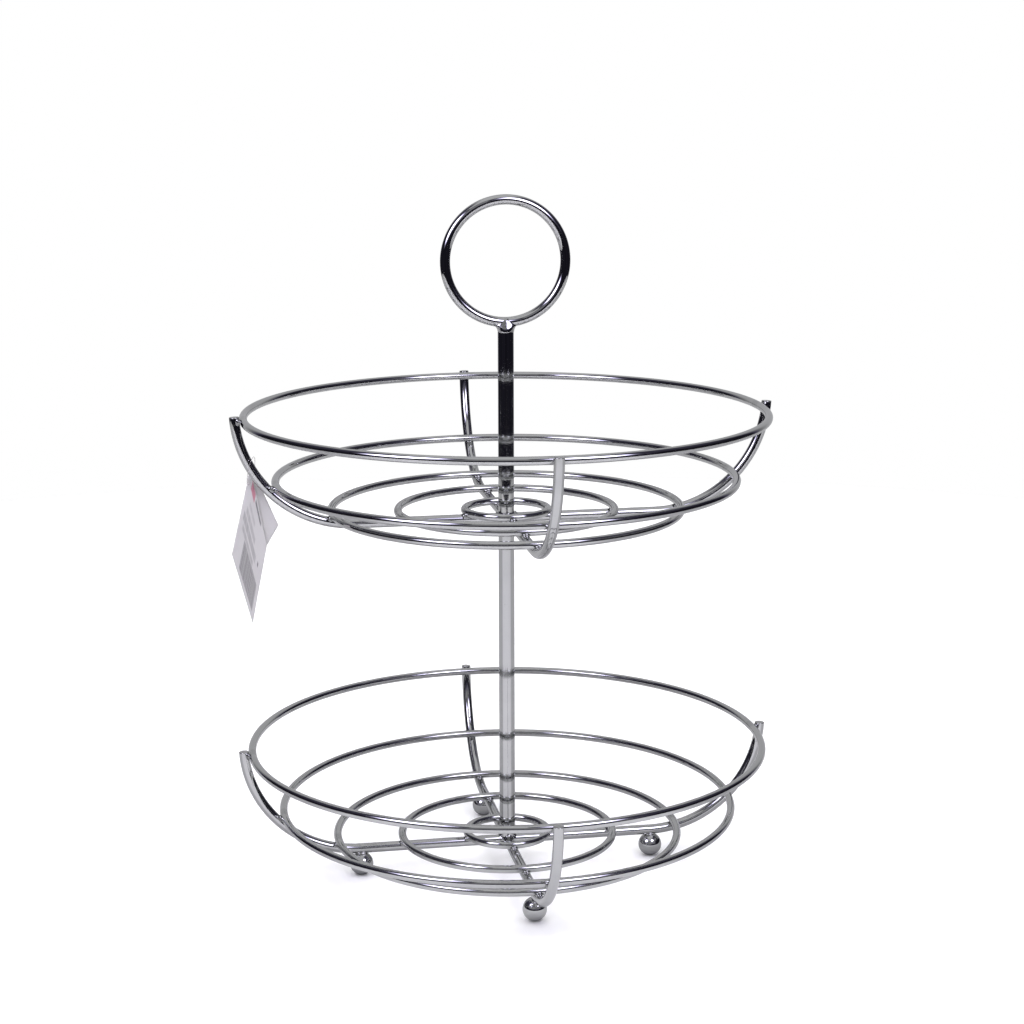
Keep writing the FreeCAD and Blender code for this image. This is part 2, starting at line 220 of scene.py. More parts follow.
def chrome(name, course, at_welds=False):
    """Bright chrome plate: drawing marks along the wire, slight waves, dust and finger haze; at_welds adds
    duller plating and painted shade near the crossings.
    """
    material, tree, shader = new_material(name)
    coordinates, wire = wire_coordinates(tree, course)
    stretch = tree.nodes.new("ShaderNodeVectorMath")
    stretch.operation = "MULTIPLY"
    put(tree, stretch.inputs[0], wire)
    stretch.inputs[1].default_value = MARK_STRETCH
    marks = noise(tree, stretch.outputs[0], 1.0, 3.0, 0.6)
    waves = noise(tree, coordinates, 160.0, 1.0)
    haze = span(tree, noise(tree, coordinates, 38.0, 3.0, 0.65), 0.48, 0.74)
    specks = span(tree, noise(tree, coordinates, 1800.0, 0.0), 0.78, 0.84)
    haze_and_weld_shade = maths(tree, "MULTIPLY", haze, 0.5)
    if at_welds:
        # Near the crossings the colour darkens: duller plating plus painted shade in the crevices
        axes = object_axes(tree)
        near = weld_nearness(tree, axes[1], axes[2], 3.5 * MM)
        haze_and_weld_shade = maths(tree, "MAXIMUM", haze_and_weld_shade, maths(tree, "MULTIPLY", near, 0.8))
    dust_haze_and_weld_shade = maths(tree, "MAXIMUM", haze_and_weld_shade, specks)
    put(tree, shader.inputs["Base Color"], mix_colour(tree, dust_haze_and_weld_shade, CHROME_LIGHT, CHROME_DULL_AND_SHADED))
    shader.inputs["Metallic"].default_value = 1.0
    shader.inputs["Specular Tint"].default_value = CHROME_EDGE
    gloss = maths(tree, "ADD", maths(tree, "MULTIPLY", marks, 0.04), 0.025)
    gloss = maths(tree, "ADD", gloss, maths(tree, "MULTIPLY", dust_haze_and_weld_shade, 0.13))
    put(tree, shader.inputs["Roughness"], gloss)
    rough_surface = bump(tree, marks, 0.0004 * MM)
    put(tree, shader.inputs["Normal"], bump(tree, waves, 0.008 * MM, rough_surface))
    return material


def weld_chrome(name):
    """Chrome over a weld bead: lumpy, a little duller, with pits."""
    material, tree, shader = new_material(name)
    coordinates = object_axes(tree)[0]
    lumps = noise(tree, coordinates, 480.0, 2.0, 0.5)
    pits = span(tree, noise(tree, coordinates, 2600.0, 1.0), 0.62, 0.78)
    put(tree, shader.inputs["Base Color"],
        mix_colour(tree, maths(tree, "MAXIMUM", pits, maths(tree, "MULTIPLY", lumps, 0.6)),
                   CHROME_LIGHT, CHROME_PITTED))
    shader.inputs["Metallic"].default_value = 1.0
    put(tree, shader.inputs["Roughness"], span(tree, lumps, 0.3, 0.8, 0.06, 0.22))
    put(tree, shader.inputs["Normal"], bump(tree, lumps, 0.03 * MM))
    return material


THREAD_PITCH = 0.8 * MM
ZINC_DARK = (0.44, 0.45, 0.47, 1)
ZINC_LIGHT = (0.60, 0.60, 0.58, 1)


def zinc(name, threaded):
    """Zinc-plated screw steel; where no thread is modelled, a fine one is in its bump."""
    material, tree, shader = new_material(name)
    coordinates, x, y, z = object_axes(tree)
    cloud = noise(tree, coordinates, 420.0, 3.0, 0.6)
    put(tree, shader.inputs["Base Color"], mix_colour(tree, cloud, ZINC_DARK, ZINC_LIGHT))
    shader.inputs["Metallic"].default_value = 1.0
    put(tree, shader.inputs["Roughness"], span(tree, cloud, 0.25, 0.75, 0.28, 0.48))
    if threaded:
        turns = maths(tree, "DIVIDE", maths(tree, "ARCTAN2", y, x), 2 * math.pi)
        climb = maths(tree, "ADD", maths(tree, "DIVIDE", z, THREAD_PITCH), turns)
        groove = maths(tree, "PINGPONG", climb, 0.5)
        put(tree, shader.inputs["Normal"], bump(tree, groove, 0.45 * MM))
    else:
        put(tree, shader.inputs["Normal"], bump(tree, cloud, 0.01 * MM))
    return material


def within(tree, value, low, high, soft=0.01):
    """1 between low and high, with soft edges."""
    rise = span(tree, value, low - soft, low + soft)
    fall = span(tree, value, high - soft, high + soft, 1.0, 0.0)
    return maths(tree, "MULTIPLY", rise, fall)


# Generic grey bars on the tag, as (along from, along to, across from, across to, strength)
PRINT_BARS = [
    (0.22, 0.50, 0.22, 0.27, 0.22),
    (0.16, 0.60, 0.32, 0.39, 0.30),
    (0.10, 0.72, 0.42, 0.51, 0.38),
    (0.14, 0.66, 0.54, 0.60, 0.34),
    (0.38, 0.68, 0.05, 0.09, 0.85),
    (0.80, 0.835, 0.40, 0.45, 0.95),
]
CARD_DARK = (0.63, 0.62, 0.595, 1)
CARD_LIGHT = (0.70, 0.69, 0.66, 1)
INK = (0.09, 0.09, 0.085, 1)
PINK = (0.55, 0.16, 0.22, 1)


def print_on(tree, paper):
    """The card's colour with grey bars, a striped block and a pink patch on its front side.

    The UV map runs (along the print, across it), from the top corner of the leaf."""
    card = tree.nodes.new("ShaderNodeSeparateXYZ")
    put(tree, card.inputs[0], tree.nodes.new("ShaderNodeUVMap").outputs["UV"])
    along = card.outputs["X"]
    across = card.outputs["Y"]
    side = tree.nodes.new("ShaderNodeSeparateXYZ")
    put(tree, side.inputs[0], tree.nodes.new("ShaderNodeTexCoord").outputs["Normal"])
    on_front = span(tree, side.outputs["Y"], -0.2, 0.2, 1.0, 0.0)

    def patch(start, end, near, far):
        """1 inside a four-sided patch of the card."""
        return maths(tree, "MULTIPLY", within(tree, along, start, end), within(tree, across, near, far))

    bars = 0.0
    for start, end, near, far, strength in PRINT_BARS:
        bar = maths(tree, "MULTIPLY", patch(start, end, near, far), strength)
        bars = maths(tree, "MAXIMUM", bars, bar)
    breaks = noise(tree, combine(tree, maths(tree, "MULTIPLY", along, 60.0), across, 0.0), 1.0, 2.0)
    bars = maths(tree, "MULTIPLY", bars, span(tree, breaks, 0.30, 0.56, 0.45, 1.0))
    stripes = noise(tree, combine(tree, maths(tree, "MULTIPLY", along, 95.0), 0.0, 0.0), 1.0, 0.0)
    block = maths(tree, "MULTIPLY", patch(0.28, 0.90, 0.61, 0.93), 0.72)
    block = maths(tree, "MULTIPLY", block, span(tree, stripes, 0.42, 0.56, 0.35, 1.0))
    ink = maths(tree, "MULTIPLY", maths(tree, "MAXIMUM", bars, block), on_front)
    mark = maths(tree, "MULTIPLY", patch(0.16, 0.34, 0.03, 0.13), on_front)
    paper = mix_colour(tree, ink, paper, INK)
    return mix_colour(tree, maths(tree, "MULTIPLY", mark, 0.8), paper, PINK)


def printed_card(name, printed):
    """Light grey card with paper fibre; the front leaf is also printed."""
    material, tree, shader = new_material(name)
    coordinates = object_axes(tree)[0]
    fibre = noise(tree, coordinates, 1500.0, 4.0, 0.65)
    cloud = noise(tree, coordinates, 90.0, 2.0)
    paper = mix_colour(tree, cloud, CARD_DARK, CARD_LIGHT)
    if printed:
        paper = print_on(tree, paper)
    put(tree, shader.inputs["Base Color"], paper)
    put(tree, shader.inputs["Roughness"], span(tree, fibre, 0.2, 0.8, 0.42, 0.60))
    shader.inputs["Specular IOR Level"].default_value = 0.45
    put(tree, shader.inputs["Normal"], bump(tree, fibre, 0.02 * MM))
    return material


def clear_nylon(name):
    """Thin clear thread with a faint pink cast."""
    material, tree, shader = new_material(name)
    coordinates = object_axes(tree)[0]
    cloud = noise(tree, coordinates, 700.0, 2.0)
    put(tree, shader.inputs["Base Color"],
        mix_colour(tree, cloud, (0.93, 0.86, 0.88, 1), (0.97, 0.95, 0.96, 1)))
    shader.inputs["Transmission Weight"].default_value = 0.95
    shader.inputs["IOR"].default_value = 1.25
    put(tree, shader.inputs["Roughness"], span(tree, cloud, 0.3, 0.7, 0.10, 0.25))
    put(tree, shader.inputs["Normal"], bump(tree, cloud, 0.01 * MM))
    return material


# ---------------------------------------------------------------- mesh helpers

def round_angles(count):
    """Equally spaced angles, once round."""
    return [2 * math.pi * step / count for step in range(count)]


def mesh_object(name, points, faces, material, body, smooth=True):
    mesh = bpy.data.meshes.new(name)
    mesh.from_pydata([tuple(point) for point in points], [], faces)
    mesh.validate()
    for face in mesh.polygons:
        face.use_smooth = smooth
    mesh.materials.append(material)
    piece = bpy.data.objects.new(name, mesh)
    bpy.context.scene.collection.objects.link(piece)
    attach(piece, body)
    return piece


def loop_faces(rows, columns):
    """Quads between closed rows of points, with a cap point before the first and after the last."""
    faces = []
    first = 1
    last = 1 + rows * columns
    for column in range(columns):
        following = (column + 1) % columns
        faces.append((0, first + following, first + column))
        for row in range(rows - 1):
            low = first + row * columns
            high = low + columns
            faces.append((low + column, low + following, high + following, high + column))
        top = first + (rows - 1) * columns
        faces.append((top + column, top + following, last))
    return faces


# ---------------------------------------------------------------- weld beads

BEAD_COLUMNS = 28
BEAD_ROWS = 6
BEAD_REACH = 2.6 * MM           # no bead reaches further than this from its contact point
BEAD_HOLLOW = 0.42              # how far the bead's face dips in, as a share of its width


def drop(radius, offset):
    """How far a round surface falls away at an offset from its highest line."""
    return radius - math.sqrt(max(radius * radius - offset * offset, 0.0))


def bead_points(place, below, above, across, sink, width):
    """Points of the fillet left between two touching round surfaces.

    place has the contact point as its origin, Z from the lower surface to the upper one and X
    along the lower wire.  below and above give each surface's fall for an offset (x, y), across
    is how uneven the width is, and the bead ends where the gap has grown to its width."""
    rows = [[] for row in range(BEAD_ROWS)]
    for angle in round_angles(BEAD_COLUMNS):
        wanted = width * (1 + across * random.uniform(-1, 1))
        out_x = math.cos(angle)
        out_y = math.sin(angle)
        near = 0.0
        far = BEAD_REACH
        # Halves the range until the gap at reach is as high as wanted
        for step in range(18):
            reach = (near + far) / 2
            gap = below(reach * out_x, reach * out_y) + above(reach * out_x, reach * out_y) - sink
            if gap < wanted:
                near = reach
            else:
                far = reach
        low = sink / 2 - below(reach * out_x, reach * out_y)
        high = above(reach * out_x, reach * out_y) - sink / 2
        for row in range(BEAD_ROWS):
            part = row / (BEAD_ROWS - 1)
            hollow = BEAD_HOLLOW * wanted * math.sin(math.pi * part)
            level = low + (high - low) * part
            rows[row].append(place @ Vector(((reach - hollow) * out_x, (reach - hollow) * out_y, level)))
    bottom = place @ Vector((0, 0, -0.3 * MM))
    top = place @ Vector((0, 0, 0.3 * MM))
    points = [bottom]
    for row in rows:
        points.extend(row)
    return points + [top]


def frame_at(origin, along, normal):
    """A matrix with its X along a wire and its Z along the contact's normal."""
    across = normal.cross(along).normalized()
    turned = Matrix((along.normalized(), across, normal.normalized())).transposed().to_4x4()
    return Matrix.Translation(origin) @ turned


def join_beads(name, beads, material, body):
    """One object from the points of several beads."""
    points = []
    faces = []
    single = loop_faces(BEAD_ROWS, BEAD_COLUMNS)
    for bead in beads:
        start = len(points)
        points.extend(bead)
        faces.extend(tuple(start + index for index in face) for face in single)
    return mesh_object(name, points, faces, material, body)


def rib_contact(tier, ring, turn):
    """The frame at the weld between one ring and the rib that leaves at this turn."""
    radius = box_size("%s_%s" % (tier, ring)).x / 2 - RING_WIRE
    height = middle("%s_%s" % (tier, ring)).z
    outward = Vector((math.cos(turn), math.sin(turn), 0))
    ring_centre = outward * radius + Z_AXIS * height
    if radius <= FLAT_REACH:
        normal = Z_AXIS.copy()
        rib_centre = outward * radius + Z_AXIS * RIB_HEIGHT[tier]
    else:
        bend_centre = outward * FLAT_REACH + Z_AXIS * (RIB_HEIGHT[tier] + BEND_RADIUS)
        normal = (bend_centre - ring_centre).normalized()
        rib_centre = bend_centre - normal * BEND_RADIUS
    along = Z_AXIS.cross(outward).cross(normal)
    return frame_at(rib_centre + normal * (RIB_WIRE - WELD_SINK / 2), along, normal)


def ring_beads(material):
    def below(x, y):
        return drop(RIB_WIRE, y)

    def above(x, y):
        return drop(RING_WIRE, x)

    for tier in TIERS:
        for side, turn in SIDES.items():
            beads = []
            for ring in RINGS:
                place = rib_contact(tier, ring, math.radians(turn))
                beads.append(bead_points(place, below, above, 0.10, WELD_SINK, 0.75 * MM))
            join_beads("%s_ring_welds_%s" % (tier, side), beads, material, tier + "_basket")


def foot_beads(material):
    sink = 2 * BALL - (RIB_HEIGHT["lower"] - RIB_WIRE)

    def below(x, y):
        return drop(BALL, math.hypot(x, y))

    def above(x, y):
        return drop(RIB_WIRE, y)

    for side, turn in SIDES.items():
        angle = math.radians(turn)
        outward = Vector((math.cos(angle), math.sin(angle), 0))
        origin = outward * FOOT_REACH + Z_AXIS * (2 * BALL - sink / 2)
        place = frame_at(origin, outward, Z_AXIS)
        bead = bead_points(place, below, above, 0.08, sink, 0.8 * MM)
        join_beads("foot_weld_" + side, [bead], material, "lower_basket")


# ---------------------------------------------------------------- welds at the post, hub and handle

def strip_object(name, rows, material, body):
    """A closed skin over rows of points, closed at both ends by the middle of the end rows."""
    columns = len(rows[0])
    first = sum(rows[0], Vector()) / columns
    last = sum(rows[-1], Vector()) / columns
    points = [first]
    for row in rows:
        points.extend(row)
    points.append(last)
    return mesh_object(name, points, loop_faces(len(rows), columns), material, body)


def ring_strip(name, sections, material, body):
    """A closed ring-shaped skin: one closed section of points for each step round the ring."""
    count = len(sections)
    size = len(sections[0])
    points = [point for section in sections for point in section]
    faces = []
    for step in range(count):
        following = (step + 1) % count
        for index in range(size):
            beside = (index + 1) % size
            faces.append((step * size + index, following * size + index,
                          following * size + beside, step * size + beside))
    return mesh_object(name, points, faces, material, body)


def hollow_section(inner, outer, depth, steps=6):
    """Points (across, up) of a concave bead between a wall point and a floor point, and its root."""
    points = []
    for step in range(steps + 1):
        part = step / steps
        bow = depth * math.sin(math.pi * part)
        points.append((inner[0] + (outer[0] - inner[0]) * part - bow,
                       inner[1] + (outer[1] - inner[1]) * part - bow))
    points.append((inner[0] - 0.3 * MM, outer[1] - 0.5 * MM))
    return points


def post_foot_weld(material):
    """The bead round the foot of the lower post, following the crossed ribs under it."""
    sections = []
    for angle in round_angles(96):
        width = (0.95 + 0.12 * math.sin(9 * angle) + random.uniform(-0.05, 0.05)) * MM
        outward = Vector((math.cos(angle), math.sin(angle), 0))

        def rib_top(reach):
            off_axis = reach * min(abs(outward.x), abs(outward.y))
            return RIB_HEIGHT["lower"] + math.sqrt(max(RIB_WIRE ** 2 - off_axis ** 2, (0.9 * MM) ** 2))

        inner = (POST - 0.03 * MM, rib_top(POST) + width)
        outer = (POST + width, rib_top(POST + width) - 0.05 * MM)
        sections.append([outward * reach + Z_AXIS * height
                         for reach, height in hollow_section(inner, outer, 0.16 * width)])
    ring_strip("lower_post_weld", sections, material, "lower_basket")


def hub_welds(material):
    """The bead round each arm of the upper basket where it meets the hub."""
    for side, turn in SIDES.items():
        spin = Matrix.Rotation(math.radians(turn), 4, "Z")
        sections = []
        for angle in round_angles(48):
            width = (0.75 + random.uniform(-0.08, 0.08)) * MM
            sideways = math.cos(angle)
            upward = math.sin(angle)
            spread = RIB_WIRE + width
            hub_face = math.sqrt(HUB ** 2 - (spread * sideways) ** 2) - 0.04 * MM
            arm_face = math.sqrt(HUB ** 2 - (RIB_WIRE * sideways) ** 2) + width
            section = []
            for part in range(7):
                share = part / 6
                bow = 0.2 * width * math.sin(math.pi * share)
                radius = RIB_WIRE - 0.02 * MM + (spread - RIB_WIRE) * share - bow
                reach = arm_face + (hub_face - arm_face) * share - bow
                section.append((reach, radius))
            section.append((hub_face - 0.5 * MM, RIB_WIRE - 0.3 * MM))
            sections.append([spin @ Vector((reach, radius * sideways, RIB_HEIGHT["upper"] + radius * upward))
                             for reach, radius in section])
        ring_strip("upper_hub_weld_" + side, sections, material, "upper_basket")


# Height above the centre of the ring's wire, half width along the ring and half depth, in mm
HANDLE_WELD_ROWS = [
    (-5.4, 3.85, 3.85),
    (-4.9, 4.04, 4.04),
    (-4.2, 4.15, 4.12),
    (-3.2, 4.35, 4.05),
    (-2.4, 4.9, 3.8),
    (-1.7, 5.7, 3.4),
    (-1.0, 5.9, 3.1),
    (-0.2, 5.0, 2.9),
    (0.6, 4.1, 2.72),
    (1.3, 3.2, 2.4),
    (1.9, 2.1, 1.9),
    (2.3, 1.0, 1.1),
]


def handle_weld(material):
    """The lump of weld that fairs the post's top into the handle ring."""
    rows = []
    base = HANDLE_CENTRE.z - HANDLE_RADIUS
    for height, wide, deep in HANDLE_WELD_ROWS:
        row = []
        for angle in round_angles(56):
            swell = 1 + 0.018 * math.sin(3 * angle + height) + random.uniform(-0.004, 0.004)
            row.append(Vector((wide * swell * math.cos(angle) * MM,
                               deep * swell * math.sin(angle) * MM,
                               base + height * MM)))
        rows.append(row)
    weld = strip_object("handle_weld", rows, material, "handle")
    smooth = weld.modifiers.new("smooth", "SUBSURF")
    smooth.levels = 1
    smooth.render_levels = 1


# ---------------------------------------------------------------- cut ends of the ribs

BEND_SWEEP = math.radians(87)
# Radius and height of the rounded end, in mm, for a wire of 2.5 mm radius
END_PROFILE = [
    (2.40, -0.40),
    (2.515, -0.26),
    (2.53, -0.10),
    (2.46, 0.05),
    (2.25, 0.17),
    (1.7, 0.25),
    (0.9, 0.28),
]


def rib_ends(material):
    """The rounded, plated ends of the ribs at the rims."""
    for tier in TIERS:
        for side, turn in SIDES.items():
            angle = math.radians(turn)
            outward = Vector((math.cos(angle), math.sin(angle), 0))
            end = (outward * (FLAT_REACH + BEND_RADIUS * math.sin(BEND_SWEEP))
                   + Z_AXIS * (RIB_HEIGHT[tier] + BEND_RADIUS * (1 - math.cos(BEND_SWEEP))))
            tangent = outward * math.cos(BEND_SWEEP) + Z_AXIS * math.sin(BEND_SWEEP)
            place = frame_at(end, Z_AXIS.cross(outward), tangent)
            lean = random.uniform(-0.03, 0.03)
            rows = []
            for radius, height in END_PROFILE:
                row = []
                for round_angle in round_angles(40):
                    across = radius * math.cos(round_angle)
                    row.append(place @ Vector((across * MM, radius * math.sin(round_angle) * MM,
                                               (height + lean * across) * MM)))
                rows.append(row)
            strip_object("%s_rib_end_%s" % (tier, side), rows, material, tier + "_basket")


# ---------------------------------------------------------------- screw stud

THREAD_CREST = 2.5 * MM
THREAD_ROOT = 2.05 * MM
STUD_TIP = 0.8 * MM             # how far the bevel at its tip goes in


def screw_stud(material):
    """The stud with a real rolled thread: its plain root is inside the upper post."""
    low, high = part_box("handle_stud")
    root_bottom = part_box("upper_post")[0].z
    columns = 36
    step_height = THREAD_PITCH / 8
    rows = []
    level = low.z
    while level < root_bottom - THREAD_PITCH:
        rows.append([])
        for angle in round_angles(columns):
            climb = ((level / THREAD_PITCH) - angle / (2 * math.pi)) % 1.0
            ridge = 0.5 - 0.5 * math.cos(2 * math.pi * climb)
            reach = THREAD_ROOT + (THREAD_CREST - THREAD_ROOT) * ridge
            reach = min(reach, THREAD_CREST - STUD_TIP + (level - low.z))
            rows[-1].append(Vector((reach * math.cos(angle), reach * math.sin(angle), level)))
        level += step_height
    shank = high.x
    for radius, level in ((THREAD_ROOT, root_bottom - THREAD_PITCH * 0.6),
                          (THREAD_ROOT, root_bottom),
                          (shank, root_bottom + 0.02 * MM),
                          (shank, high.z - 0.4 * MM),
                          (shank - 0.4 * MM, high.z)):
        rows.append([Vector((radius * math.cos(angle), radius * math.sin(angle), level))
                     for angle in round_angles(columns)])
    stud = strip_object("threaded_stud", rows, material, "handle")
    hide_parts("handle_stud")


# ---------------------------------------------------------------- hang tag

HANG_ANGLE = math.radians(60)           # where on the left rib's bend the tag hangs
HANG_POINT = Vector((-(FLAT_REACH + BEND_RADIUS * math.sin(HANG_ANGLE)), 0,
                     RIB_HEIGHT["upper"] + BEND_RADIUS * (1 - math.cos(HANG_ANGLE))))
TAG_LEAN = Matrix.Rotation(math.radians(-7.4), 4, "X")
TAG_PLACE = Matrix.Translation(HANG_POINT) @ TAG_LEAN
TAG_DEPTH = 4.3                         # the card hangs this far behind the rib's centre, in mm
PAPER = 0.26                            # its thickness, in mm
# Corners of the two leaves, in mm from the hang point, across and up: top, left, bottom, right
FRONT_LEAF = [(0.0, 2.0), (-10.8, -41.6), (-1.8, -76.4), (6.6, -37.5)]
BACK_LEAF = [(0.0, 1.8), (-5.0, -28.0), (1.4, -46.5), (12.6, -28.2)]


def leaf(name, corners, depth, curl, material):
    """A curled sheet of card with a UV map; curl and depth are in mm."""
    columns = 26
    rows = 34
    top, left, bottom, right = [Vector((across, 0, up)) for across, up in corners]
    mesh = bmesh.new()
    uv_layer = mesh.loops.layers.uv.new("card")
    grid = []
    for row in range(rows + 1):
        along = row / rows
        line = []
        for column in range(columns + 1):
            across = column / columns
            flat = (top * (1 - across) * (1 - along) + left * across * (1 - along)
                    + bottom * across * along + right * (1 - across) * along)
            bend = depth + curl * (0.55 * math.sin(math.pi * across) - along * along)
            line.append(mesh.verts.new(TAG_PLACE @ (flat * MM + Y_AXIS * bend * MM)))
        grid.append(line)
    for row in range(rows):
        for column in range(columns):
            cells = ((row, column), (row + 1, column), (row + 1, column + 1), (row, column + 1))
            face = mesh.faces.new([grid[r][c] for r, c in cells])
            face.smooth = True
            for corner, (r, c) in zip(face.loops, cells):
                corner[uv_layer].uv = (r / rows, c / columns)
    data = bpy.data.meshes.new(name)
    mesh.to_mesh(data)
    mesh.free()
    data.materials.append(material)
    piece = bpy.data.objects.new(name, data)
    bpy.context.scene.collection.objects.link(piece)
    card = piece.modifiers.new("card", "SOLIDIFY")
    card.thickness = PAPER * MM
    card.offset = 0
    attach(piece, "hang_tag")
    return piece


def hang_tag(front_material, back_material):
    front = leaf("tag_front_leaf", FRONT_LEAF, TAG_DEPTH - 0.15, 0.5, front_material)
    leaf("tag_back_leaf", BACK_LEAF, TAG_DEPTH + 0.35, -0.3, back_material)
    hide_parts("hang_tag")


LOOP_RADIUS = 7.0 * MM
LOOP_WIRE = 0.15 * MM                   # radius of the clear thread
LOOP_DROP = 0.75 * MM                   # how far its centre hangs below the hang point
LOOP_TURN = math.radians(-15)
LOOP_TILT = math.radians(12)


def tag_thread(material):
    """A thin clear loop on the same path as the CAD loop."""
    turn = Matrix.Rotation(LOOP_TURN, 4, "Z") @ Matrix.Rotation(LOOP_TILT, 4, "Y")
    centre = HANG_POINT + (TAG_LEAN @ turn) @ Vector((0, 0, -LOOP_DROP))
    place = Matrix.Translation(centre) @ TAG_LEAN @ turn
    sections = []
    for angle in round_angles(96):
        middle_point = Vector((0, math.cos(angle), math.sin(angle)))
        section = []
        for round_angle in round_angles(10):
            reach = LOOP_RADIUS + LOOP_WIRE * math.cos(round_angle)
            section.append(place @ (middle_point * reach + X_AXIS * LOOP_WIRE * math.sin(round_angle)))
        sections.append(section)
    loop = ring_strip("tag_thread", sections, material, "hang_tag")
    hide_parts("tag_loop")


# ---------------------------------------------------------------- finishes on the CAD nodes

def finish_nodes(materials):
    for node in NODES:
        if "_ring" in node and node != "handle_ring":
            finish = "ring"
        elif node == "handle_ring":
            finish = "handle"
        elif node in ("lower_rib_side_to_side", "upper_rib_left", "upper_rib_right"):
            finish = "rib_x"
        elif "_rib_" in node:
            finish = "rib_y"
        elif node.startswith("foot_"):
            finish = "ball"
        elif node in ("handle_stud", "lower_post_insert"):
            finish = "zinc"
        elif node == "hang_tag":
            finish = "plain"
        elif node == "tag_loop":
            finish = "nylon"
        else:
            finish = "post"
        slots = NODES[node].data.materials
        slots.clear()
        slots.append(materials[finish])


MATERIALS = {
    "ring": chrome("chrome_rings", "round_post", at_welds=True),
    "handle": chrome("chrome_handle", "round_handle"),
    "rib_x": chrome("chrome_ribs_across", "along_x"),
    "rib_y": chrome("chrome_ribs_front_to_back", "along_y"),
    "post": chrome("chrome_post", "along_z"),
    "ball": chrome("chrome_balls", "none"),
    "weld": weld_chrome("chrome_welds"),
    "zinc": zinc("zinc_insert", True),
    "stud": zinc("zinc_stud", False),
    "printed": printed_card("printed_card", True),
    "plain": printed_card("plain_card", False),
    "nylon": clear_nylon("clear_nylon"),
}
finish_nodes(MATERIALS)
ring_beads(MATERIALS["weld"])
foot_beads(MATERIALS["weld"])
post_foot_weld(MATERIALS["weld"])
hub_welds(MATERIALS["weld"])
handle_weld(MATERIALS["weld"])
rib_ends(MATERIALS["weld"])
screw_stud(MATERIALS["stud"])
hang_tag(MATERIALS["printed"], MATERIALS["plain"])
tag_thread(MATERIALS["nylon"])


# ---------------------------------------------------------------- camera

CAMERA_TURN = math.radians(10.0)        # the camera stands this far round from straight ahead
CAMERA_REACH = 1.06425
CAMERA_HEIGHT = 0.41247
CAMERA_AIM = math.radians(0.154)
CAMERA_PITCH = math.radians(11.954)
CAMERA_ROLL = math.radians(-0.158)
LENS = 76.13


def make_camera():
    data = bpy.data.cameras.new("camera")
    data.lens = LENS
    data.sensor_width = 36
    camera = bpy.data.objects.new("camera", data)
    bpy.context.scene.collection.objects.link(camera)
    place = Matrix.Translation((-CAMERA_REACH * math.sin(CAMERA_TURN),
                                -CAMERA_REACH * math.cos(CAMERA_TURN), CAMERA_HEIGHT))
    heading = Matrix.Rotation(-(CAMERA_TURN + CAMERA_AIM), 4, "Z")
    tilt = Matrix.Rotation(math.radians(90) - CAMERA_PITCH, 4, "X")
    camera.matrix_world = place @ heading @ tilt @ Matrix.Rotation(CAMERA_ROLL, 4, "Z")
    bpy.context.scene.camera = camera


# ---------------------------------------------------------------- floor, room and lamps

TOWARDS_CAMERA = Vector((-math.sin(CAMERA_TURN), -math.cos(CAMERA_TURN), 0))
CAMERA_RIGHT = Vector((math.cos(CAMERA_TURN), -math.sin(CAMERA_TURN), 0))
TABLE_FRONT = 0.91                      # how far the table reaches, towards the camera and elsewhere
TABLE_SIDE = 1.05
# Darkest and lightest tone of the table: in front with painted light and at the sides with painted shade as
# mirrored, then as seen itself
LIT_FRONT_TONES = ((0.68, 0.68, 0.675, 1), (0.74, 0.74, 0.735, 1))
SHADED_SIDE_TONES = ((0.42, 0.42, 0.42, 1), (0.46, 0.46, 0.46, 1))
SEEN_TONE = (0.96, 0.96, 0.96, 1)
SEEN_GLOW = 0.10


def seen_directly(tree):
    """1 for what the camera sees itself, 0 for what is mirrored or gives light to other things."""
    return tree.nodes.new("ShaderNodeLightPath").outputs["Is Camera Ray"]


def facing_camera(tree, x, y):
    """Cosine of the turn of a direction or place (x, y) from the camera's side of the stand."""
    length = maths(tree, "MAXIMUM", distance(tree, x, y), 0.001)
    forward = maths(tree, "ADD", maths(tree, "MULTIPLY", x, TOWARDS_CAMERA.x),
                    maths(tree, "MULTIPLY", y, TOWARDS_CAMERA.y))
    return maths(tree, "DIVIDE", forward, length)


def make_floor():
    """A pale round table top.  In the chrome it looks greyer, most of all at the sides, where painted shade
    darkens it; in front it carries painted light.
    """
    points = []
    for angle in round_angles(96):
        reach = TABLE_FRONT if math.cos(angle) > 0 else TABLE_SIDE
        points.append(TOWARDS_CAMERA * reach * math.cos(angle)
                      + CAMERA_RIGHT * TABLE_SIDE * math.sin(angle))
    mesh = bpy.data.meshes.new("table_top")
    mesh.from_pydata([tuple(point) for point in points], [], [tuple(range(95, -1, -1))])
    floor = bpy.data.objects.new("table_top", mesh)
    bpy.context.scene.collection.objects.link(floor)
    material, tree, shader = new_material("pale_table")
    coordinates, x, y, z = object_axes(tree)
    shade = noise(tree, coordinates, 30.0, 3.0)
    painted_front_light = mix_colour(tree, shade, *LIT_FRONT_TONES)
    painted_side_shade = mix_colour(tree, shade, *SHADED_SIDE_TONES)
    # Painted light and shade: as mirrored, the table is lighter in front of the stand and darker at its
    # sides
    in_front = span(tree, facing_camera(tree, x, y),
                    math.cos(math.radians(75)), math.cos(math.radians(45)))
    mirrored = mix_colour(tree, in_front, painted_side_shade, painted_front_light)
    put(tree, shader.inputs["Base Color"], mix_colour(tree, seen_directly(tree), mirrored, SEEN_TONE))
    shader.inputs["Emission Color"].default_value = (1, 1, 1, 1)
    put(tree, shader.inputs["Emission Strength"], maths(tree, "MULTIPLY", seen_directly(tree), SEEN_GLOW))
    shader.inputs["Roughness"].default_value = 0.7
    shader.inputs["Specular IOR Level"].default_value = 0.1
    mesh.materials.append(material)


